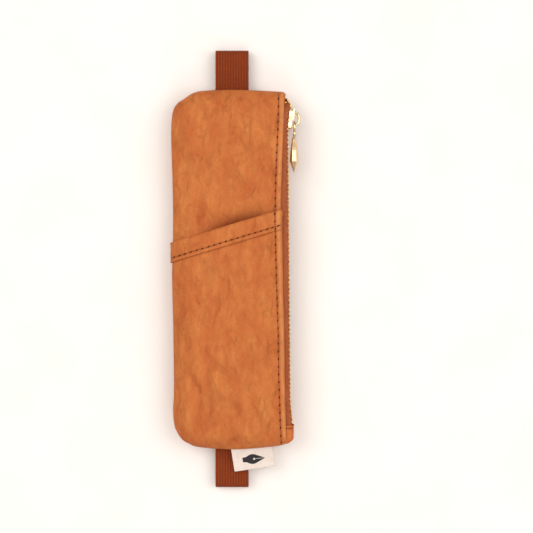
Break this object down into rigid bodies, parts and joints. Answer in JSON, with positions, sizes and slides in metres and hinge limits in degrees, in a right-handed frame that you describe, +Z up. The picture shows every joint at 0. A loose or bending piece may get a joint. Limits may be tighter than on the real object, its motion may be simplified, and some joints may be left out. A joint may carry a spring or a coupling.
{
  "type": "zipped pen pouch with notebook elastic",
  "caption": "Slim leather-like pen pouch with a side zip, slanted slip pocket and a rear elastic loop that straps it to a notebook.",
  "frame": {"origin": "on the surface the pouch lies on, under the middle of its outer box", "axes": "+X across the pouch towards its zip, +Y along it towards the closed end of the zip, +Z up out of the front panel"},
  "size_m": [0.0704, 0.2386, 0.0243],
  "materials": {
    "panel_leather": "matte crinkled tan, washed",
    "lining_cotton": "plain woven cotton",
    "zip_tape": "twill woven",
    "zip_brass": "bright gold plate",
    "slider_gold": "polished light gold plate",
    "elastic_webbing": "ribbed knit",
    "dark_thread": "waxed polyester thread",
    "label_cotton": "printed cotton tape"
  },
  "bodies": {
    "root": {"front_panel": "panel_leather", "back_panel": "panel_leather", "pocket_panel": "panel_leather", "pocket_band": "panel_leather", "lining_front": "lining_cotton", "lining_back": "lining_cotton", "zip_top_stop_front": "zip_brass", "zip_top_stop_back": "zip_brass", "zip_bottom_stop": "zip_brass", "zip_end_tab": "panel_leather", "elastic_band": "elastic_webbing", "elastic_tack_top": "dark_thread", "elastic_tack_bottom": "dark_thread", "side_label": "label_cotton", "zip_seam_thread_front": "dark_thread", "zip_seam_thread_back": "dark_thread", "pocket_hem_thread": "dark_thread", "end_tab_thread": "dark_thread"},
    "zip_half_front": {"zip_tape_front": "zip_tape", "zip_teeth_front": "zip_brass"},
    "zip_half_back": {"zip_tape_back": "zip_tape", "zip_teeth_back": "zip_brass"},
    "slider": {"slider_body": "slider_gold"},
    "pull": {"pull_tab": "slider_gold"}
  },
  "joints": [
    {"name": "slider_slide", "type": "slide", "parent": "root", "child": "slider", "axis": [0.0085, -1, 0], "range_m": [0, 0.134]},
    {"name": "pull_swing", "type": "hinge", "parent": "slider", "child": "pull", "pos_m": [0.03175, 0.0786, 0.0131], "axis": [0, 0, 1], "range_deg": [0, 115]},
    {"name": "mouth_front", "type": "hinge", "parent": "root", "child": "zip_half_front", "pos_m": [0.0252, 0, 0.01775], "axis": [0, -1, 0], "range_deg": [0, 41], "deforming": ["zip_tape_front", "zip_teeth_front"]},
    {"name": "mouth_back", "type": "hinge", "parent": "root", "child": "zip_half_back", "pos_m": [0.0252, 0, 0.00845], "axis": [0, 1, 0], "range_deg": [0, 41], "deforming": ["zip_tape_back", "zip_teeth_back"]}
  ],
  "couplings": [
    {"joint": "mouth_front", "follows": "slider_slide", "rad_per_m": 5.22},
    {"joint": "mouth_back", "follows": "slider_slide", "rad_per_m": 5.22}
  ]
}
